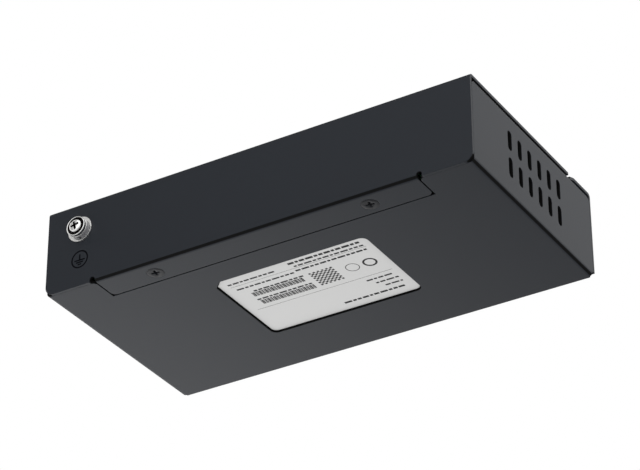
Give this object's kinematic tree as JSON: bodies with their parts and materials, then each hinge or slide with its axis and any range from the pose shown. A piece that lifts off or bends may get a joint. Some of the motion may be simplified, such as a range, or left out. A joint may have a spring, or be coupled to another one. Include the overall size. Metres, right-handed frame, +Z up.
{
  "type": "ethernet switch",
  "caption": "Small desktop ethernet switch in a folded sheet-steel case, with a row of network sockets, a power inlet, side vents and an earthing screw at the rear.",
  "frame": {"origin": "centre of the case's underside, on the plane that it rests on", "axes": "+Z up, +X along the case's width, the sockets face -Y and the earthing screw +Y"},
  "size_m": [0.16, 0.0874, 0.0321],
  "materials": {
    "case_paint": "fine satin powder coat, dark grey",
    "black_screw": "black plated steel",
    "nickel": "bright nickel plate",
    "zinc": "bright zinc plate",
    "label_film": "matt silver-white film",
    "board_mask": "green solder mask",
    "shield_tin": "tinned spring sheet",
    "black_nylon": "moulded black",
    "contact_gold": "gold-plated bronze wire",
    "lead_tin": "tinned",
    "guide_clear": "clear moulded, slightly milky",
    "led_lens": "clear resin",
    "chip_black": "moulded epoxy",
    "pad_soft": "soft silicone",
    "sink_aluminium": "drawn aluminium",
    "ceramic_tan": "fired ceramic"
  },
  "bodies": {
    "root": {"base_tray": "case_paint", "top_cover": "case_paint", "cover_screws": "black_screw", "ground_spring_washer": "black_screw", "ground_screw": "nickel", "ground_flat_washer": "nickel", "nut_strip": "zinc", "ground_clinch_nut": "zinc", "board_standoffs": "zinc", "board_screws": "zinc", "rating_label": "label_film", "circuit_board": "board_mask", "left_jack_shield": "shield_tin", "right_jack_shield": "shield_tin", "left_jack_housing": "black_nylon", "right_jack_housing": "black_nylon", "dc_jack": "black_nylon", "left_jack_contacts": "contact_gold", "right_jack_contacts": "contact_gold", "dc_jack_pin": "lead_tin", "dc_jack_terminals": "lead_tin", "transformer_leads": "lead_tin", "crystal": "lead_tin", "left_light_guide": "guide_clear", "right_light_guide": "guide_clear", "power_light_guide": "guide_clear", "indicator_leds": "led_lens", "switch_chip": "chip_black", "memory_chip": "chip_black", "regulator_chip": "chip_black", "lan_transformers": "chip_black", "power_inductor": "chip_black", "thermal_pad": "pad_soft", "heat_sink": "sink_aluminium", "electrolytic_capacitors": "sink_aluminium", "ceramic_capacitors": "ceramic_tan"}
  },
  "joints": []
}
